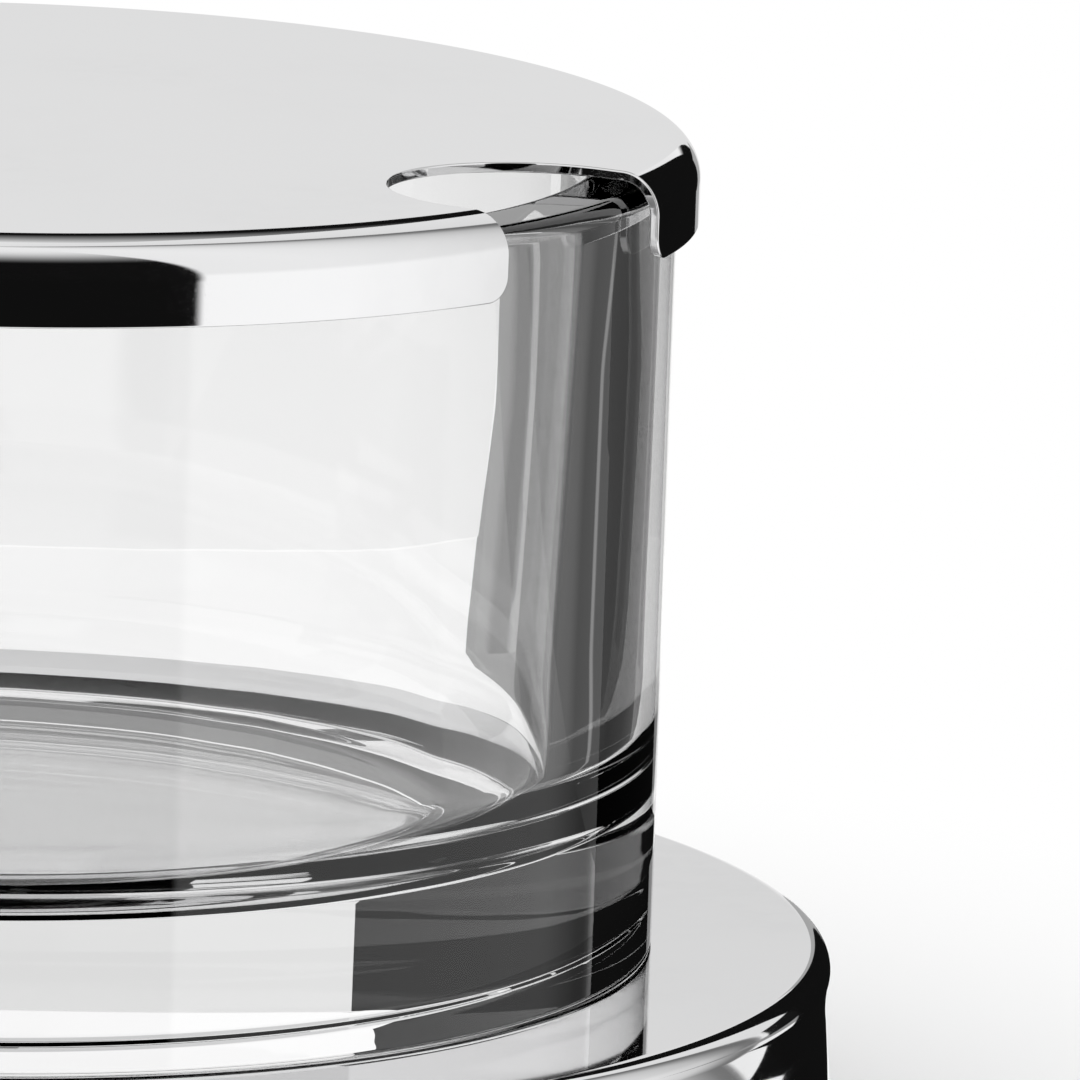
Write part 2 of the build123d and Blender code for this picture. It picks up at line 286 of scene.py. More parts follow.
class NodeBoard:
    """Places and links the nodes of one shader tree."""

    def __init__(self, tree: bpy.types.NodeTree) -> None:
        """Takes the tree that the nodes go into."""
        self.tree = tree

    @classmethod
    def fresh(cls, owner: bpy.types.ID) -> "NodeBoard":
        """Empties the shader tree of a material or world.

        Args:
            owner: The material or world.

        Returns:
            The tree's board.
        """
        owner.use_nodes = True
        owner.node_tree.nodes.clear()
        return cls(owner.node_tree)

    def add(self, kind: str, values: dict[str, object] | None = None, **settings: object) -> bpy.types.Node:
        """Adds a node.

        Args:
            kind: Node type, without the leading ShaderNode.
            values: Numbers and colours for inputs, or sockets to link to them, by input name or number.
            settings: Properties of the node.

        Returns:
            The node.
        """
        node = self.tree.nodes.new("ShaderNode" + kind)
        for name, value in settings.items():
            setattr(node, name, value)
        for key, value in (values or {}).items():
            if isinstance(value, Socket):
                self.tree.links.new(value, node.inputs[key])
            else:
                node.inputs[key].default_value = value
        return node

    def maths(self, operation: str, *terms: object) -> Socket:
        """Adds a Math node over numbers or sockets and gives its result."""
        return self.add("Math", dict(enumerate(terms)), operation=operation).outputs[0]

    def joined(self, operation: str, *terms: object) -> Socket:
        """Joins terms by one operation, from the first on."""
        return reduce(partial(self.maths, operation), terms)

    def stretch(self, value: object, low: float, high: float, to_low: float, to_high: float) -> Socket:
        """Maps a value from one range onto another, smoothly and held at both ends."""
        ends = {"Value": value, "From Min": low, "From Max": high, "To Min": to_low, "To Max": to_high}
        return self.add("MapRange", ends, interpolation_type="SMOOTHSTEP").outputs["Result"]

    def band(self, value: Socket, low: Pair, high: Pair) -> Socket:
        """Adds a mask that is 1 between two values.

        Args:
            value: Value to test.
            low: Lower value, and half the width of the fade there.
            high: Upper value, and half the width of the fade there.

        Returns:
            The mask.
        """
        rise = self.stretch(value, low[0] - low[1], low[0] + low[1], 0.0, 1.0)
        fall = self.stretch(value, high[0] - high[1], high[0] + high[1], 1.0, 0.0)
        return self.maths("MULTIPLY", rise, fall)

    def noise(self, vector: Socket, scale: object, detail: float) -> Socket:
        """Adds a noise texture, scale in spots per metre, and gives its value."""
        return self.add("TexNoise", {"Vector": vector, "Scale": scale, "Detail": detail}).outputs["Fac"]

    def place(self) -> Socket:
        """Object coordinates of the shaded point."""
        return self.add("TexCoord").outputs["Object"]

    def spots(self, scale: object, detail: float, low: float, high: float, least: float = 0.0) -> Socket:
        """Soft spots: least where a noise is under its low value, rising to 1 at its high one."""
        return self.stretch(self.noise(self.place(), scale, detail), low, high, least, 1.0)

    def drawn(self, scale: Triple, turn: float = 0.0) -> Socket:
        """Object coordinates turned about the upright axis, in radians, and scaled along each axis."""
        values = {"Vector": self.place(), "Rotation": (0.0, 0.0, turn), "Scale": scale}
        return self.add("Mapping", values).outputs["Vector"]

    def bump(self, height: Socket, depth: float) -> Socket:
        """Adds a bump, its depth in metres, and gives its normal."""
        return self.add("Bump", {"Height": height, "Strength": 1.0, "Distance": depth}).outputs["Normal"]

    def blend(self, share: Socket, first: object, second: Colour) -> Socket:
        """Mixes two colours and gives the result."""
        node = self.add("Mix", {"Factor": share, "A": first, "B": second}, data_type="RGBA")
        return next(output for output in node.outputs if output.type == "RGBA")

    def ramp(self, value: Socket, tones: Tones, span: float, unit: float = 1.0) -> Socket:
        """Looks up a grey by a value.

        Args:
            value: Value to look up.
            tones: Values with the brightness there, in units.
            span: Value in units at the ramp's end.
            unit: Size of a unit.

        Returns:
            The grey.
        """
        node = self.add("ValToRGB", {"Fac": self.maths("DIVIDE", value, span * unit)})
        elements = node.color_ramp.elements
        while len(elements) < len(tones):
            elements.new(1.0)
        for element, (position, tone) in zip(elements, tones):
            element.position = position / span
            element.color = (tone, tone, tone, 1.0)
        return node.outputs["Color"]

    def either(self, share: Socket, first: bpy.types.Node, second: bpy.types.Node) -> bpy.types.Node:
        """Mixes two shaders, the second by the share."""
        return self.add("MixShader", {0: share, 1: first.outputs[0], 2: second.outputs[0]})


@dataclass(frozen=True)
class SurfaceMarks:
    """Handling marks that all finishes share: smudges, hairline scratches and fine dust.

    Attributes:
        name: Name of the shader group.
        scales: Its inputs, in spots per metre.
        masks: Its outputs.
        finer: How much finer the spots are that break up a smudge.
        patches: Patches of hairlines per metre.
        directions: Turns of the hairlines about the upright axis, in radians.
        drawn: Scale of the hairlines' noise along each axis.
        middle: Middle value of that noise.
        hairline: Half the width of a hairline, in that noise's values.
        dusty: Dusty places per metre.
        core: Distances in a dust cell between which its speck fades.
    """

    name: str = "handling_marks"
    scales: tuple[str, ...] = ("Smudge Scale", "Scratch Scale", "Dust Scale")
    masks: tuple[str, ...] = ("Smudge", "Scratch", "Dust")
    finer: float = 14.0
    patches: float = 45.0
    directions: Pair = (0.5, 2.1)
    drawn: Triple = (0.03, 1.0, 1.0)
    middle: float = 0.5
    hairline: float = 0.012
    dusty: float = 260.0
    core: Pair = (0.05, 0.11)

    def group(self) -> bpy.types.NodeTree:
        """Gives the shader group, which is built on the first call."""
        return bpy.data.node_groups.get(self.name) or self.built()

    def built(self) -> bpy.types.NodeTree:
        """Builds the group.

        Smudge is soft spots broken up by finer ones. Scratch is the thin line where a long drawn-out noise
        crosses its middle, in two directions, kept in patches. Dust is the core of scattered cells.

        Returns:
            The group.
        """
        tree = bpy.data.node_groups.new(self.name, "ShaderNodeTree")
        for way, labels in (("INPUT", self.scales), ("OUTPUT", self.masks)):
            for label in labels:
                tree.interface.new_socket(label, in_out=way, socket_type="NodeSocketFloat")
        smudges, scratches, cells = tree.nodes.new("NodeGroupInput").outputs[: len(self.scales)]
        board = NodeBoard(tree)
        finer = board.maths("MULTIPLY", smudges, self.finer)
        soft = board.spots(smudges, detail=3.0, low=0.5, high=0.72)
        grain = board.spots(finer, detail=4.0, low=0.35, high=0.65, least=0.4)
        lines = [self.hairlines(board, scratches, turn) for turn in self.directions]
        patch = board.spots(self.patches, detail=2.0, low=0.5, high=0.64)
        specks = board.add("TexVoronoi", {"Vector": board.place(), "Scale": cells})
        core = board.stretch(specks.outputs["Distance"], *self.core, 1.0, 0.0)
        dusty = board.spots(self.dusty, detail=1.0, low=0.6, high=0.66)
        pairs = ((soft, grain), (board.maths("MAXIMUM", *lines), patch), (core, dusty))
        for pair, end in zip(pairs, tree.nodes.new("NodeGroupOutput").inputs):
            tree.links.new(board.maths("MULTIPLY", *pair), end)
        return tree

    def hairlines(self, board: NodeBoard, scale: Socket, turn: float) -> Socket:
        """Thin lines along one direction.

        Args:
            board: Board of the group.
            scale: Lines per metre across the direction.
            turn: Turn of the direction about the upright axis, in radians.

        Returns:
            Mask of the lines.
        """
        value = board.noise(board.drawn(self.drawn, turn), scale, detail=1.0)
        off_middle = board.maths("ABSOLUTE", board.maths("SUBTRACT", value, self.middle))
        return board.stretch(off_middle, 0.0, self.hairline, 1.0, 0.0)


@dataclass(frozen=True)
class Coating:
    """Finish that is one Principled surface with a grain, under handling marks.

    Attributes:
        finish: Slot of the record that the finish fills.
        spots: Smudges, hairlines and dust cells per metre.
        furrow: Colour in the furrows of the grain.
        grains: Spots of the grain per metre.
        detail: Detail of the grain.
        drawn: Scale of the grain along each axis.
        depth: Depth of the grain in metres.
        ridge: Colour on its ridges, where it isn't the same.
        mark: Mark that changes the colour.
        marked: Colour under that mark, where it has one.
        metallic: 1 for metal.
        clear: Part of the light that goes through.
        index: Refractive index.
        gloss: Roughness in the furrows.
        uneven: Roughness added on the ridges.
        mottle: Values of the grain's noise that bound the roughness, where it goes between two levels.
        haze: Roughness added by a smudge.
        hairline: Roughness added in a hairline.
    """

    finish: Finish
    spots: Triple
    furrow: Colour
    grains: float
    detail: float = 1.0
    drawn: Triple = (1.0, 1.0, 1.0)
    depth: float = 0.0
    ridge: Colour | None = None
    mark: str = "Smudge"
    marked: Colour | None = None
    metallic: float = 0.0
    clear: float = 0.0
    index: float = 1.5
    gloss: float = 0.0
    uneven: float = 0.0
    mottle: Pair | None = None
    haze: float = 0.0
    hairline: float = 0.0

    def material(self) -> bpy.types.Material:
        """Builds the finish.

        Returns:
            Its material.
        """
        material = bpy.data.materials.new("look_" + self.finish.value)
        board = NodeBoard.fresh(material)
        shared = SurfaceMarks()
        marks = board.add("Group", dict(zip(shared.scales, self.spots)), node_tree=shared.group()).outputs
        grain = board.noise(board.drawn(self.drawn), self.grains, self.detail)
        colour = board.blend(grain, self.furrow, self.ridge) if self.ridge else self.furrow
        if self.marked:
            colour = board.blend(marks[self.mark], colour, self.marked)
        uneven = board.stretch(grain, *self.mottle, 0.0, 1.0) if self.mottle else grain
        rough = board.maths("MULTIPLY_ADD", uneven, self.uneven, self.gloss)
        for mark, more in (("Smudge", self.haze), ("Scratch", self.hairline)):
            rough = board.maths("MULTIPLY_ADD", marks[mark], more, rough)
        surface = {
            "Base Color": colour,
            "Metallic": self.metallic,
            "Transmission Weight": self.clear,
            "IOR": self.index,
            "Roughness": rough,
            "Normal": board.bump(grain, self.depth),
        }
        board.add("OutputMaterial", {"Surface": board.add("BsdfPrincipled", surface).outputs[0]})
        return material


FINISHES = (
    # Mirror-polished steel over the slow ripple that polishing leaves
    Coating(
        Finish.POLISHED_STEEL,
        spots=(26.0, 2600.0, 700.0),
        furrow=(0.80, 0.80, 0.805, 1.0),
        grains=55.0,
        depth=0.0000012,
        marked=(0.765, 0.765, 0.77, 1.0),
        metallic=1.0,
        gloss=0.03,
        haze=0.035,
        hairline=0.05,
    ),
    # Satin steel of the hidden plates and fasteners, with a short rolled grain
    Coating(
        Finish.PLAIN_STEEL,
        spots=(40.0, 1500.0, 500.0),
        furrow=(0.53, 0.53, 0.525, 1.0),
        grains=3200.0,
        detail=3.0,
        drawn=(0.04, 1.0, 1.0),
        depth=0.000006,
        ridge=(0.66, 0.66, 0.655, 1.0),
        metallic=1.0,
        gloss=0.27,
        uneven=0.12,
        haze=0.1,
    ),
    # Thick clear pressed glass with faint upright cords in its fire-polished skin
    Coating(
        Finish.CLEAR_GLASS,
        spots=(34.0, 2200.0, 800.0),
        furrow=(0.988, 0.988, 0.988, 1.0),
        grains=120.0,
        drawn=(1.0, 1.0, 0.18),
        depth=0.000002,
        marked=(0.98, 0.98, 0.98, 1.0),
        clear=1.0,
        haze=0.012,
    ),
    # Milky silicone of the dots under the lid, where dust sticks
    Coating(
        Finish.CLEAR_SILICONE,
        spots=(300.0, 4000.0, 2500.0),
        furrow=(0.9, 0.91, 0.91, 1.0),
        grains=900.0,
        detail=2.0,
        mark="Dust",
        marked=(0.78, 0.78, 0.76, 1.0),
        clear=0.55,
        index=1.41,
        gloss=0.28,
        uneven=0.14,
        mottle=(0.3, 0.7),
    ),
    # Matt dark grey silicone of the foot ring, mottled and dusty
    Coating(
        Finish.GREY_SILICONE,
        spots=(60.0, 3000.0, 1400.0),
        furrow=(0.045, 0.045, 0.048, 1.0),
        grains=420.0,
        detail=4.0,
        depth=0.00002,
        ridge=(0.075, 0.075, 0.078, 1.0),
        mark="Dust",
        marked=(0.2, 0.2, 0.195, 1.0),
        gloss=0.62,
        uneven=0.18,
        mottle=(0.3, 0.7),
    ),
)


# Sub-assemblies


@dataclass
class SubAssembly:
    """Pieces that are dressed together.

    Attributes:
        looks: Materials by finish.
    """

    looks: dict[Finish, bpy.types.Material]

    def dress(self, finish: Finish, *nodes: str) -> None:
        """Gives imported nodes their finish.

        Args:
            finish: The finish.
            nodes: Names of the nodes.
        """
        for node in nodes:
            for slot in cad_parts[node].material_slots:
                slot.material = self.looks[finish]
            log.info("%s: dressed as %s", node, finish.value)

    def stand_in(self, piece: bpy.types.Object, node: str, body: Body, finish: Finish) -> None:
        """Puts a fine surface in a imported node's place.

        Args:
            piece: The fine surface.
            node: Node that it stands for.
            body: Body that it moves with.
            finish: Finish of the piece.
        """
        piece.data.materials.append(self.looks[finish])
        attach(piece, body.value)
        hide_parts(node)


@dataclass
class GlassBowl(SubAssembly):
    """Bowl of thick clear glass. Lengths are in millimetres.

    Attributes:
        radius: Outside radius.
        bottom: Height of the foot above the table.
        top: Height of the rim.
        wall: Thickness of the wall.
        floor: Thickness of the floor.
        draft: Amount by which the bore is narrower at the floor than at the rim, in radius.
        corner: Radius inside, where wall meets floor.
        rim_out: Radius of the rim's outer edge.
        rim_in: Radius of the rim's inner edge.
        foot_round: Radius of the foot's edge.
        foot_width: Width of the ring that the bowl stands on.
        recess: Depth of the flat recess under the floor.
        recess_slope: Width of the slope at the recess's edge.
        air: Gap that keeps the foot's face off the steel's.
        wave: Height of the slow waves that pressing leaves inside.
        ripples: Waves as turns round the bowl, drift in radians per millimetre of height, start in
            radians, and share of the height.
        calm: Part of the waves that is left at the floor.
        calm_top: Height above the foot up to which only that part is left.
        fade: Height over which the waves grow above that, and fade at the rim.
        upright: Part of the bore's lean that its smooth shading keeps.
        upright_from: Heights from the corner's end between which the shading loses the rest.
        slack: Room that the waves take beyond the bore's radius.
        columns: Steps round the bowl.
    """

    radius: float = 55.0
    bottom: float = 18.0
    top: float = 80.7
    wall: float = 7.0
    floor: float = 9.7
    draft: float = 1.4
    corner: float = 8.3
    rim_out: float = 1.5
    rim_in: float = 1.8
    foot_round: float = 0.5
    foot_width: float = 15.4
    recess: float = 0.3
    recess_slope: float = 0.8
    air: float = 0.02
    wave: float = 0.12
    ripples: tuple[tuple[int, float, float, float], ...] = (
        (3, 0.05, 3.65, 0.42),
        (7, -0.02, 4.76, 0.28),
        (12, 0.03, 0.21, 0.15),
        (19, -0.03, 3.47, 0.1),
        (29, 0.02, 2.98, 0.05),
        (47, 0.01, 1.1, 0.02),
    )
    calm: float = 0.2
    calm_top: float = 14.0
    fade: float = 12.0
    upright: float = 0.15
    upright_from: Pair = (-1.0, 3.0)
    slack: float = 0.1
    columns: int = 460

    def section(self) -> np.ndarray:
        """Section from the middle of the floor, up the inside, over the rim and down to the recess under it.

        Returns:
            Rows of radius, height and way out.
        """
        floor_top = self.bottom + self.floor
        foot = self.bottom + self.air
        foot_in = self.radius - self.foot_width
        foot_edge = self.radius - self.foot_round
        recess = (foot_in - self.recess_slope, self.bottom + self.recess)
        slope = math.atan2(self.draft, self.top - floor_top)
        tilt = math.degrees(slope)
        foot_of_wall = self.radius - self.wall - self.draft
        corner_mid = foot_of_wall + self.corner * (math.tan(slope) - 1 / math.cos(slope))
        rim_low = self.top - self.rim_in
        rim_mid = foot_of_wall + (rim_low - floor_top) * math.tan(slope) + self.rim_in / math.cos(slope)
        rim_edge = self.radius - self.rim_out
        corner = arc((corner_mid, floor_top + self.corner), self.corner, -90.0, -tilt, steps=30)
        rim = arc((rim_mid, rim_low), self.rim_in, 180.0 - tilt, 90.0, steps=14)
        return chain(
            straight((0.0, floor_top), (corner_mid, floor_top), steps=16),
            corner,
            straight(tuple(corner[-1, :2]), tuple(rim[0, :2]), steps=48),
            rim,
            straight((rim_mid, self.top), (rim_edge, self.top), steps=3),
            arc((rim_edge, self.top - self.rim_out), self.rim_out, 90.0, 0.0, steps=12),
            straight((self.radius, self.top - self.rim_out), (self.radius, foot + self.foot_round), steps=40),
            arc((foot_edge, foot + self.foot_round), self.foot_round, 0.0, -90.0, steps=8),
            straight((foot_edge, foot), (foot_in, foot), steps=5),
            straight((foot_in, foot), recess, steps=3),
            straight(recess, (0.0, recess[1]), steps=12),
        )

    def waves(self, section: np.ndarray, angles: np.ndarray) -> np.ndarray:
        """Depth of the slow waves in the inner skin.

        The depth is a sum of cosines of whole multiples of the angle, each drifting with height. It is
        calmer near the floor and fades to nothing at the rim and outside.

        Args:
            section: Rows of radius, height and way out.
            angles: Angle of each column.

        Returns:
            Depth in millimetres for each row and column.
        """
        radius, height = section[:, 0, None], section[:, 1, None]
        bore = self.radius - self.wall
        inside = (radius < bore + self.rim_in / 2) & (height > self.bottom + self.floor / 2)
        fade = np.clip((self.top - self.rim_in - height) / self.fade, 0.0, 1.0)
        growth = np.clip((height - self.bottom - self.calm_top) / self.fade, 0.0, 1.0)
        fade = fade * (self.calm + (1.0 - self.calm) * growth)
        middle = np.clip(radius / bore, 0.0, 1.0) ** 2
        turns, drift, start, share = np.array(self.ripples).T[:, :, None, None]
        waves = (share * np.cos(turns * angles + drift * height + start)).sum(axis=0)
        return self.wave * waves * fade * middle * inside

    def wavy_outs(self, points: np.ndarray, outs: np.ndarray) -> np.ndarray:
        """Ways out of the waved surface.

        Each is the cross product of the steps along the section and round the bowl, taken between a
        point's neighbours. Up the bore they lean less than the bore does. The poles keep theirs.

        Args:
            points: Grid of points.
            outs: Ways out before the waves.

        Returns:
            Ways out with the waves.
        """
        ring = points[:, :-1]
        around = np.roll(ring, -1, axis=1) - np.roll(ring, 1, axis=1)
        around = np.concatenate([around, around[:, :1]], axis=1)
        waved = np.cross(np.gradient(points, axis=0), around)
        bore = np.linalg.norm(points[..., :2], axis=-1) < (self.radius - self.wall + self.slack) * MM
        height = points[..., 2] / MM
        low, high = self.upright_from
        past_corner = height - self.bottom - self.floor - self.corner - low
        lean = np.clip(past_corner / (high - low), 0.0, 1.0)
        lean *= np.clip(self.top - self.rim_in - height, 0.0, 1.0)
        waved[..., 2] *= np.where(bore, 1.0 - (1.0 - self.upright) * lean, 1.0)
        waved[[0, -1]] = outs[[0, -1]]
        return waved / np.linalg.norm(waved, axis=-1, keepdims=True)

    def build(self) -> None:
        """Builds the bowl and puts it in its node's place."""
        section = self.section()
        angles = even_turn(self.columns)
        points, outs = turned_points(section, angles)
        points = points + outs * self.waves(section, angles)[..., None] * MM
        skin = Skin()
        skin.cover(closed_numbers(skin.lay(points, self.wavy_outs(points, outs)), (0, -1)))
        self.stand_in(skin.build("bowl_glass"), "glass_bowl", Body.BASE, Finish.CLEAR_GLASS)


@dataclass
class Lid(SubAssembly):
    """Lid pressing with its spoon slot, the hinge leaf, rivets and soft dots. Lengths are in millimetres.

    Attributes:
        radius: Outside radius of the rim.
        top: Height of the top.
        depth: Height of the lid, top to rim.
        edge_round: Outside radius between top and rim.
        sheet: Thickness of the sheet.
        slot_width: Width of the slot.
        slot_depth: Depth of the slot from the rim inwards.
        slot_corner: Radius of the rim's corners beside the slot.
        edge_break: Radius that polishing leaves on the cut edge.
        crowding: How much closer the columns stand near the slot, from 0 to 1.
        columns: Steps round the lid.
    """

    radius: float = 56.75
    top: float = 82.3
    depth: float = 6.7
    edge_round: float = 3.3
    sheet: float = 0.8
    slot_width: float = 22.0
    slot_depth: float = 17.0
    slot_corner: float = 2.0
    edge_break: float = 0.14
    crowding: float = 0.75
    columns: int = 420

    def slot_rows(self) -> tuple[np.ndarray, np.ndarray]:
        """Rows at the slot's round end.

        The point at angle b on the end's circle lies at radius sqrt(d*d + a*a - 2*d*a*cos b) from the lid's
        middle, a the circle's radius and d its centre's distance, and at angle atan2(a*sin b, d - a*cos b).

        Returns:
            Radius of each row, and the angle at which it meets the slot.
        """
        reach = self.slot_width / 2 + self.edge_break
        centre = self.radius - self.slot_depth + self.slot_width / 2
        turn = quarter_turn(40)
        radius = np.sqrt(centre**2 + reach**2 - 2 * centre * reach * np.cos(turn))
        return radius, np.arctan2(reach * np.sin(turn), centre - reach * np.cos(turn))

    def sheet_rows(self, inset: float) -> tuple[np.ndarray, np.ndarray, int]:
        """Section of the sheet's one side, with the slot's angle at each row.

        Args:
            inset: Zero for the outside and the sheet's thickness for the inside.

        Returns:
            Rows of radius, height and outside way out; half angle of the slot; number of the row where the
            slot begins.
        """
        reach = self.slot_width / 2 + self.edge_break
        centre = (self.radius - self.edge_round, self.top - self.edge_round)
        wall = self.radius - inset
        height = self.top - inset
        rim = self.top - self.depth
        slot_radius, slot_angle = self.slot_rows()
        plain = straight((0.0, height), (slot_radius[0], height), steps=12)
        level = np.ones_like(slot_radius)
        end = np.column_stack([slot_radius, height * level, 0 * level, level])
        flat = straight((slot_radius[-1], height), (centre[0], height), steps=4)
        edge = arc(centre, self.edge_round - inset, 90.0, 0.0, steps=30)
        side = straight((wall, centre[1]), (wall, rim + self.slot_corner), steps=8)
        turn = quarter_turn(16)
        corner = self.slot_corner - self.edge_break
        foot_z = rim + self.slot_corner - corner * np.sin(turn)
        foot = np.column_stack([np.full_like(turn, wall), foot_z, np.ones_like(turn), 0 * turn])
        section = chain(plain, end, flat, edge, side, foot)
        half_width = np.full(len(section), reach)
        half_width[-len(turn) :] = self.slot_width / 2 + self.slot_corner - corner * np.cos(turn)
        start = len(plain) - 1
        angle = np.arcsin(np.clip(half_width / np.maximum(section[:, 0], reach), 0.0, 1.0))
        angle[: start + 1] = 0.0
        angle[start : start + len(slot_angle)] = slot_angle
        return section, angle, start

    def columns_at(self, slot_angle: np.ndarray) -> np.ndarray:
        """Angles of the columns, from one side of the slot round to the other, closer near it.

        The share s of the way round becomes s - crowding * sin(turn * s) / turn.

        Args:
            slot_angle: Angle at which each row meets the slot.

        Returns:
            Grid of angles, a row for each point of the section.
        """
        turn = even_turn(self.columns)
        eased = (turn - self.crowding * np.sin(turn)) / FULL_TURN
        first = slot_angle[:, None]
        return first + (FULL_TURN - 2 * first) * eased

    def side(self, skin: Skin, inset: float) -> tuple[np.ndarray, np.ndarray, np.ndarray]:
        """Lays one side of the sheet.

        Args:
            skin: Surface to add to.
            inset: Zero for the outside and the sheet's thickness for the inside.

        Returns:
            Point numbers, points and outside ways out along the sheet's free edge, in a closed loop.
        """
        section, angle, start = self.sheet_rows(inset)
        points, outs = turned_points(section, self.columns_at(angle))
        inside = inset > 0
        numbers = skin.lay(points, -outs if inside else outs)
        numbers[0, :] = numbers[0, 0]
        numbers[: start + 1, -1] = numbers[: start + 1, 0]
        skin.cover(numbers, flip=inside)
        return tuple(
            np.concatenate([grid[start:, 0], grid[-1, 1:-1], grid[start + 1 :, -1][::-1]])
            for grid in (numbers, points, outs)
        )

    def shell(self) -> bpy.types.Object:
        """Builds the pressing.

        Both sides of the sheet end a little short of the cut. Between them runs a band: the point at angle
        a on its rounded edge is the side's end + break * (sin a along the way off the sheet, cos a - 1 along
        the way out).

        Returns:
            The pressing.
        """
        skin = Skin()
        outer, outer_points, ways_out = self.side(skin, 0.0)
        inner, inner_points, _ = self.side(skin, self.sheet)
        along = np.roll(outer_points, -1, axis=0) - np.roll(outer_points, 1, axis=0)
        off = np.cross(along, ways_out)
        off /= np.linalg.norm(off, axis=1, keepdims=True)
        turn = quarter_turn(5)[:, None, None]
        radius = self.edge_break * MM
        upper = outer_points + radius * (np.sin(turn) * off + (np.cos(turn) - 1) * ways_out)
        lower = inner_points + radius * (np.sin(turn) * off - (np.cos(turn) - 1) * ways_out)
        upper_outs = np.sin(turn) * off + np.cos(turn) * ways_out
        lower_outs = np.sin(turn) * off - np.cos(turn) * ways_out
        band = np.concatenate([upper[1:], lower[:0:-1]])
        band_outs = np.concatenate([upper_outs[1:], lower_outs[:0:-1]])
        rows = np.vstack([outer[None], skin.lay(band, band_outs), inner[None]])
        skin.cover(np.hstack([rows, rows[:, :1]]))
        return skin.build("lid_pressing")

    def build(self) -> None:
        """Builds the pressing and dresses the rest."""
        self.stand_in(self.shell(), "lid_shell", Body.LID, Finish.POLISHED_STEEL)
        self.dress(Finish.POLISHED_STEEL, "hinge_leaf", "leaf_rivets")
        self.dress(Finish.CLEAR_SILICONE, "lid_bumpers")


@dataclass
class Base(SubAssembly):
    """Base pressing, closing plate and foot ring. Lengths are in millimetres.

    Attributes:
        radius: Outside radius at the bead.
        height: Height of the flat top.
        sheet: Thickness of the sheet.
        bead: Radius of the bead round the top's edge.
        neck_inset: Depth of the neck behind the bead.
        neck: Radius of the neck's hollow.
        flare: Lean of the skirt in degrees.
        hem: Outside radius of the rolled hem.
        hem_width: Width of the hem.
        hem_lift: Height of the hem above the table.
        columns: Steps round the base.
    """

    radius: float = 69.2
    height: float = 18.0
    sheet: float = 0.8
    bead: float = 1.8
    neck_inset: float = 0.25
    neck: float = 12.0
    flare: float = 5.0
    hem: float = 1.6
    hem_width: float = 4.5
    hem_lift: float = 0.8
    columns: int = 440

    def section(self) -> np.ndarray:
        """Outside section: flat top, bead, neck, flared skirt and the hem rolled in underneath.

        Returns:
            Rows of radius, height and way out.
        """
        bead_at = (self.radius - self.bead, self.height - self.bead)
        neck_r = self.radius - self.neck_inset + self.neck
        drop = math.sqrt((self.bead + self.neck) ** 2 - (neck_r - bead_at[0]) ** 2)
        neck_at = (neck_r, bead_at[1] - drop)
        turn = math.degrees(math.atan2(-drop, neck_r - bead_at[0]))
        lean = math.radians(self.flare)
        skirt_top = (neck_r - self.neck * math.cos(lean), neck_at[1] - self.neck * math.sin(lean))
        hem_z = self.hem_lift + self.hem
        skirt_end_z = hem_z + self.hem * math.sin(lean)
        skirt_end_r = skirt_top[0] + (skirt_top[1] - skirt_end_z) * math.tan(lean)
        hem_at = (skirt_end_r - self.hem * math.cos(lean), hem_z)
        hem_edge = hem_at[0] + self.hem - self.hem_width
        return chain(
            straight((0.0, self.height), (bead_at[0], self.height), steps=12),
            arc(bead_at, self.bead, 90.0, turn, steps=40),
            arc(neck_at, self.neck, 180.0 + turn, 180.0 + self.flare, steps=24),
            straight(skirt_top, (skirt_end_r, skirt_end_z), steps=8),
            arc(hem_at, self.hem, self.flare, -90.0, steps=20),
            straight((hem_at[0], self.hem_lift), (hem_edge, self.hem_lift), steps=3),
        )

    def shell(self) -> bpy.types.Object:
        """Builds the pressing: the outside section, the cut edge, and the same section set in by the sheet.

        Returns:
            The pressing.
        """
        outside = self.section()
        inside = set_in(outside, self.sheet)
        cut = straight(tuple(outside[-1, :2]), tuple(inside[0, :2]), steps=1)
        skin = Skin()
        angles = even_turn(self.columns)
        for run, poles in ((outside, (0,)), (cut, ()), (inside, (-1,))):
            skin.cover(closed_numbers(skin.lay(*turned_points(run, angles)), poles))
        return skin.build("base_pressing")

    def build(self) -> None:
        """Builds the pressing and dresses the rest."""
        self.stand_in(self.shell(), "base_shell", Body.BASE, Finish.POLISHED_STEEL)
        self.dress(Finish.PLAIN_STEEL, "base_plate")
        self.dress(Finish.GREY_SILICONE, "foot_ring")


@dataclass
class HingePost(SubAssembly):
    """Bracket behind the glass with its pin and fasteners."""

    def build(self) -> None:
        """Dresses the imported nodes."""
        self.dress(Finish.POLISHED_STEEL, "hinge_bracket", "hinge_pin")
        self.dress(Finish.PLAIN_STEEL, "bracket_screws", "bracket_nuts", "backing_plate")


# Studio and camera


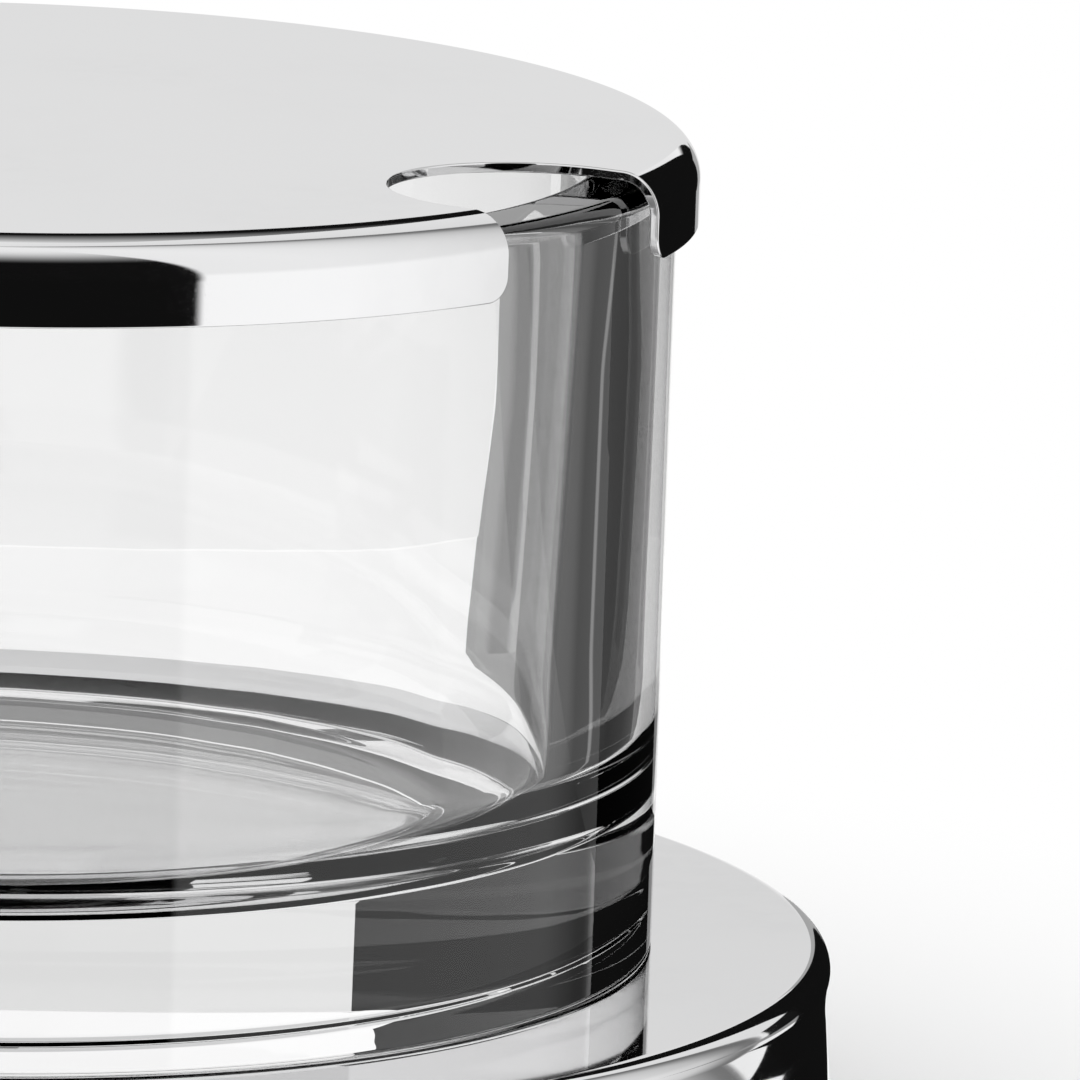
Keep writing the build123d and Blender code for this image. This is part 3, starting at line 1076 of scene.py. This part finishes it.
@dataclass(frozen=True)
class Surround:
    """Far light seen in mirror and glass: a dark flag behind the pot, a dark front, white elsewhere.

    Angles are in degrees. An angle round the pot is 0 towards the camera and grows to the right. The two
    ends of a dark part are pairs of its angle and half the width of its fade.

    Attributes:
        front: Compass turn of the camera's side, from the slot's side.
        sides: Angles round the pot with the brightness there.
        flag: Ends of the dark behind the pot.
        flag_top: Height angles between which that dark fades.
        dark_front: Ends of the dark behind the camera.
        dark_front_height: Its ends in height.
        front_in_glass: Part of that dark which shows in glass.
        dark_left: Ends of the dark table on the left, in front.
        table: Height angles between which the table takes over from the surround.
        dark: Level of the dark parts.
        upper: Part of the brightness that is left higher up.
        upper_from: Height angles between which it falls to that.
        ambient: Level of the light on matt surfaces.
    """

    front: float = -56.9
    sides: Tones = (
        (0.0, 1.1), (60.0, 1.16), (76.0, 1.12), (92.0, 1.02), (103.0, 0.9), (113.0, 0.72), (119.0, 0.42),
        (124.0, 0.22), (127.8, 0.2), (128.8, 1.0), (180.0, 1.08), (235.0, 1.05), (262.0, 1.0), (325.0, 1.1),
    )
    flag: tuple[Pair, Pair] = ((131.0, 0.3), (250.0, 2.0))
    flag_top: Pair = (6.0, 9.0)
    dark_front: tuple[Pair, Pair] = ((-6.0, 1.0), (36.0, 1.0))
    dark_front_height: tuple[Pair, Pair] = ((-30.0, 8.0), (61.0, 19.0))
    front_in_glass: float = 0.35
    dark_left: tuple[Pair, Pair] = ((200.0, 2.0), (330.0, 2.0))
    table: Pair = (-5.0, -2.0)
    dark: float = 0.006
    upper: float = 0.88
    upper_from: Pair = (3.0, 14.0)
    ambient: float = 0.8

    def angles(self, board: NodeBoard) -> tuple[Socket, Socket]:
        """Angle round the pot, from 0 to 360, and height angle of the direction looked in.

        Args:
            board: Board of the world.

        Returns:
            Both angles in degrees.
        """
        way = board.add("TexCoord").outputs["Generated"]
        turn = {"Vector": way, "Angle": math.radians(FULL_CIRCLE / 4 - self.front)}
        turned = board.add("VectorRotate", turn, rotation_type="Z_AXIS")
        split = board.add("SeparateXYZ", {0: turned.outputs["Vector"]}).outputs
        around = board.maths("DEGREES", board.maths("ARCTAN2", split["Y"], split["X"]))
        height = board.maths("DEGREES", board.maths("ARCSINE", split["Z"]))
        return board.maths("FLOORED_MODULO", around, FULL_CIRCLE), height

    def level(self, board: NodeBoard) -> Socket:
        """Brightness of the surround in the direction looked in.

        Args:
            board: Board of the world.

        Returns:
            Brightness, where 1 is white.
        """
        around, height = self.angles(board)
        wrapped = board.maths("WRAP", around, FULL_CIRCLE / 2, -FULL_CIRCLE / 2)
        glass = board.add("LightPath").outputs["Is Transmission Ray"]
        flag = board.joined(
            "MULTIPLY",
            board.band(around, *self.flag),
            board.stretch(height, *self.flag_top, 1.0, 0.0),
            board.stretch(height, *self.table, 0.0, 1.0),
        )
        front = board.joined(
            "MULTIPLY",
            board.band(wrapped, *self.dark_front),
            board.band(height, *self.dark_front_height),
            board.stretch(glass, 0.0, 1.0, 1.0, self.front_in_glass),
        )
        below = board.stretch(height, *self.table, 1.0, 0.0)
        left = board.maths("MULTIPLY", board.band(around, *self.dark_left), below)
        shade = board.joined("MAXIMUM", flag, front, left)
        tone = board.ramp(around, self.sides, FULL_CIRCLE)
        tone = board.maths("MULTIPLY", tone, board.stretch(height, *self.upper_from, 1.0, self.upper))
        return board.add("Mix", {"Factor": shade, 2: tone, 3: self.dark}, data_type="FLOAT").outputs[0]

    def build(self) -> None:
        """Sets the world: white to the camera, the surround to mirror and glass, plain to matt surfaces."""
        world = bpy.data.worlds.new("surround")
        board = NodeBoard.fresh(world)
        path = board.add("LightPath").outputs
        mirrored = board.maths("MAXIMUM", path["Is Glossy Ray"], path["Is Transmission Ray"])
        levels = (self.level(board), 1.0, self.ambient)
        tent, white, matt = (board.add("Background", {"Color": WHITE, "Strength": level}) for level in levels)
        seen = board.either(path["Is Camera Ray"], board.either(mirrored, matt, tent), white)
        board.add("OutputWorld", {"Surface": seen.outputs[0]})
        bpy.context.scene.world = world


def rectangle(low: Pair, high: Pair) -> tuple[Pair, ...]:
    """Corners of a rectangle, from its lowest corner round."""
    return low, (high[0], low[1]), high, (low[0], high[1])


def facing(behind: float, *corners: Pair) -> tuple[Triple, ...]:
    """Corners of an upright card that faces the camera, from their places to the right and up."""
    return tuple((behind, right, up) for right, up in corners)


def sideways(right: float, *corners: Pair) -> tuple[Triple, ...]:
    """Corners of an upright card that faces the pot's side, from their places behind it and up."""
    return tuple((behind, right, up) for behind, up in corners)


def lying(up: float, *corners: Pair) -> tuple[Triple, ...]:
    """Corners of a card that lies, from their places behind the pot and to its right."""
    return tuple((behind, right, up) for behind, right in corners)


def even(tone: float) -> Tones:
    """Tones of a card that is equally bright all over."""
    return (0.0, tone), (1.0, tone)


class Seen(Enum):
    """What a card shows in."""

    MIRROR = "mirror"
    GLASS = "glass"
    BOTH = "both"


@dataclass(frozen=True)
class Card:
    """Flat card near the pot that only mirror or glass see.

    Attributes:
        name: Name of the card.
        corners: Corners as millimetres behind the pot, to its right and above the table.
        tones: Millimetres up the card, or from its first corner towards the second, with the brightness
            there.
        across: Whether the tones run from the first corner towards the second.
        seen: What the card shows in.
    """

    name: str
    corners: tuple[Triple, ...]
    tones: Tones
    across: bool = False
    seen: Seen = Seen.BOTH

    def glow(self, places: np.ndarray) -> bpy.types.Material:
        """Material that glows with the card's tones.

        Args:
            places: Corners in metres.

        Returns:
            The material.
        """
        material = bpy.data.materials.new(self.name)
        board = NodeBoard.fresh(material)
        way, start = UP, 0.0
        if self.across:
            way = (places[1] - places[0]) / np.linalg.norm(places[1] - places[0])
            start = float(places[0] @ way)
        run = board.add("VectorMath", {0: board.place(), 1: tuple(way)}, operation="DOT_PRODUCT")
        run = board.maths("SUBTRACT", run.outputs["Value"], start)
        shade = board.ramp(run, self.tones, self.tones[-1][0], MM)
        glow = board.add("Emission", {"Color": shade, "Strength": 1.0})
        board.add("OutputMaterial", {"Surface": glow.outputs[0]})
        return material

    def build(self, front: float) -> None:
        """Puts the card in its place.

        Args:
            front: Compass turn of the camera's side in degrees, from the slot's side.
        """
        turn = math.radians(front)
        behind = (-math.sin(turn), math.cos(turn), 0.0)
        right = (math.cos(turn), math.sin(turn), 0.0)
        places = np.array(self.corners) @ np.array((behind, right, UP)) * MM
        mesh = bpy.data.meshes.new(self.name)
        mesh.from_pydata(places.tolist(), [], [tuple(range(len(places)))])
        mesh.materials.append(self.glow(places))
        card = put_in_scene(self.name, mesh)
        card.visible_camera = False
        card.visible_diffuse = False
        card.visible_shadow = False
        card.visible_glossy = self.seen is not Seen.GLASS
        card.visible_transmission = self.seen is not Seen.MIRROR


# Tone of the black cards, and height of the table's cards in millimetres
BLACK = 0.006
ON_TABLE = -0.2

CARDS = (
    Card(
        "card_backdrop",
        facing(
            240.0,
            (-73.0, 0.0), (102.0, 0.0), (107.0, 40.0), (107.0, 176.0),
            (-107.0, 176.0), (-107.0, 125.0), (-73.0, 115.0),
        ),
        ((0.0, 0.95), (20.0, 0.93), (67.0, 0.78), (121.0, 0.83), (176.0, 0.88)),
    ),
    Card(
        "card_black",
        sideways(
            90.0,
            (10.0, 0.0), (119.0, 0.0), (119.0, 140.0), (55.0, 135.0),
            (35.0, 117.0), (22.0, 102.0), (14.0, 90.0), (10.0, 80.0),
        ),
        even(BLACK),
        seen=Seen.MIRROR,
    ),
    Card(
        "card_black_in_glass",
        sideways(90.0, *rectangle((10.0, 0.0), (119.0, 140.0))),
        (
            (0.0, 0.12), (9.0, 0.1), (15.0, 0.05), (26.4, 0.05), (27.4, 0.26),
            (29.0, 0.26), (30.0, 0.06), (45.0, 0.045), (70.0, 0.07), (109.0, 0.15),
        ),
        across=True,
        seen=Seen.GLASS,
    ),
    Card(
        "card_black_high",
        facing(200.0, *rectangle((-107.0, 163.0), (107.0, 900.0))),
        ((0.0, BLACK), (260.0, BLACK), (500.0, 0.4), (900.0, 0.92)),
        seen=Seen.MIRROR,
    ),
    Card(
        "card_black_behind_in_glass",
        facing(240.0, *rectangle((-260.0, 0.0), (-73.0, 120.0))),
        even(BLACK),
        seen=Seen.GLASS,
    ),
    Card(
        "card_black_left_in_glass",
        sideways(-260.0, *rectangle((-40.0, 0.0), (240.0, 120.0))),
        even(BLACK),
        seen=Seen.GLASS,
    ),
    Card(
        "card_grey",
        facing(180.0, *rectangle((88.0, 0.0), (300.0, 78.0))),
        ((0.0, 0.42), (60.0, 0.42), (100.0, 0.01), (212.0, 0.01)),
        across=True,
        seen=Seen.MIRROR,
    ),
    Card(
        "card_grey_in_glass",
        facing(180.0, *rectangle((89.0, 0.0), (300.0, 130.0))),
        ((0.0, 0.36), (4.0, 0.34), (6.5, 0.2), (14.0, 0.2), (19.0, 0.4), (29.0, 0.46), (211.0, 0.42)),
        across=True,
        seen=Seen.GLASS,
    ),
    Card(
        "card_table_back",
        lying(
            ON_TABLE,
            (-10.0, -6.0), (66.0, -6.0), (240.0, -67.0), (240.0, 101.5), (180.0, 86.0), (-10.0, 86.0),
        ),
        even(1.0),
    ),
    Card(
        "card_table_right",
        lying(
            ON_TABLE,
            (60.0, 86.0), (180.0, 86.0), (240.0, 101.5), (400.0, 151.0), (400.0, 500.0), (60.0, 500.0),
        ),
        even(0.33),
    ),
    Card(
        "card_table_black",
        lying(ON_TABLE / 2, *rectangle((5.0, 76.0), (125.0, 110.0))),
        even(BLACK),
        seen=Seen.MIRROR,
    ),
    Card(
        "card_table_front",
        lying(ON_TABLE, *rectangle((-300.0, 0.0), (-10.0, 400.0))),
        even(0.7),
        seen=Seen.GLASS,
    ),
)


@dataclass(frozen=True)
class Studio:
    """Plain pale floor, surround, cards and soft lamps. Lengths are in metres.

    Attributes:
        floor_half: Half the floor's side.
        floor_tone: Colour of the floor.
        floor_fade: Distances from the middle between which the floor turns white.
        cards: Cards near the pot.
        lamps: Name, place, side and power in watts of each square lamp.
        aim: Point that the lamps face.
    """

    floor_half: float = 8.0
    floor_tone: Colour = (0.9, 0.9, 0.9, 1.0)
    floor_fade: Pair = (0.075, 0.16)
    cards: tuple[Card, ...] = CARDS
    lamps: tuple[tuple[str, Triple, float, float], ...] = (
        ("lamp_overhead", (0.0, 0.1, 1.3), 1.1, 4.0),
        ("lamp_left", (-1.1, -0.7, 0.9), 0.9, 2.0),
        ("lamp_right", (1.2, -0.2, 0.8), 0.9, 1.2),
    )
    aim: Triple = (0.0, 0.0, 0.04)

    def floor_look(self) -> bpy.types.Material:
        """Matt material that turns white away from the pot and is clear from below.

        Returns:
            The material.
        """
        material = bpy.data.materials.new("studio_floor")
        board = NodeBoard.fresh(material)
        matt = board.add("BsdfDiffuse", {"Color": self.floor_tone})
        white = board.add("Emission", {"Color": WHITE, "Strength": 1.0})
        away = board.add("VectorMath", {0: board.place()}, operation="LENGTH")
        far = board.stretch(away.outputs["Value"], *self.floor_fade, 0.0, 1.0)
        under = board.add("NewGeometry").outputs["Backfacing"]
        sided = board.either(under, board.either(far, matt, white), board.add("BsdfTransparent"))
        board.add("OutputMaterial", {"Surface": sided.outputs[0]})
        return material

    def floor(self) -> None:
        """Lays the floor."""
        half = self.floor_half
        mesh = bpy.data.meshes.new("studio_floor")
        corners = [(x, y, 0.0) for x, y in rectangle((-half, -half), (half, half))]
        mesh.from_pydata(corners, [], [(0, 1, 2, 3)])
        mesh.materials.append(self.floor_look())
        floor = put_in_scene("studio_floor", mesh)
        floor.visible_glossy = False
        floor.visible_transmission = False

    def lamp(self, name: str, place: Triple, side: float, power: float) -> None:
        """Hangs a square soft lamp that faces the pot.

        Args:
            name: Name of the lamp.
            place: Where it hangs.
            side: Length of its side.
            power: Power in watts.
        """
        data = bpy.data.lights.new(name, "AREA")
        data.shape = "SQUARE"
        data.size = side
        data.energy = power
        lamp = put_in_scene(name, data)
        lamp.location = place
        lamp.rotation_euler = (Vector(self.aim) - Vector(place)).to_track_quat("-Z", "Y").to_euler()
        lamp.visible_glossy = False
        lamp.visible_transmission = False

    def build(self) -> None:
        """Sets up surround, cards, floor and lamps."""
        surround = Surround()
        surround.build()
        for card in self.cards:
            card.build(surround.front)
        self.floor()
        for lamp in self.lamps:
            self.lamp(*lamp)
        log.info("studio: floor, surround, %d cards and %d lamps", len(self.cards), len(self.lamps))


@dataclass(frozen=True)
class CloseCamera:
    """Camera of the close view.

    Attributes:
        place: Where it stands, in metres.
        target: Point in the middle of the picture.
        roll: Turn about its own line of sight, in radians.
        lens: Focal length in millimetres on the sensor's width.
        sensor: Width of the sensor in millimetres.
        clip: Nearest and farthest distance that it shows, in metres.
    """

    place: Triple = (-0.935935, -0.610524, 0.271034)
    target: Triple = (0.023132, -0.038805, 0.049784)
    roll: float = 0.0339
    lens: float = 483.994
    sensor: float = 36.0
    clip: Pair = (0.05, 50.0)

    def build(self) -> None:
        """Makes the scene's camera."""
        data = bpy.data.cameras.new("close_camera")
        data.lens = self.lens
        data.sensor_width = self.sensor
        data.sensor_fit = "HORIZONTAL"
        data.clip_start, data.clip_end = self.clip
        camera = put_in_scene("close_camera", data)
        back = (Vector(self.place) - Vector(self.target)).normalized()
        right = Vector(UP).cross(back).normalized()
        up = back.cross(right)
        cosine, sine = math.cos(self.roll), math.sin(self.roll)
        turn = Matrix((cosine * right + sine * up, cosine * up - sine * right, back)).transposed()
        camera.matrix_world = Matrix.Translation(self.place) @ turn.to_4x4()
        bpy.context.scene.camera = camera
        log.info("camera: %.0f mm lens", self.lens)


def main() -> None:
    """Builds the pot's looks, the studio and the camera, and notes the sizes."""
    logging.basicConfig(level=logging.INFO, format="%(name)s: %(message)s")
    looks = {coating.finish: coating.material() for coating in FINISHES}
    for part in (Base(looks), GlassBowl(looks), Lid(looks), HingePost(looks)):
        part.build()
    Studio().build()
    CloseCamera().build()
    bpy.context.scene.view_settings.view_transform = "Standard"
    bpy.context.view_layer.update()


if __name__ == "__main__":
    main()
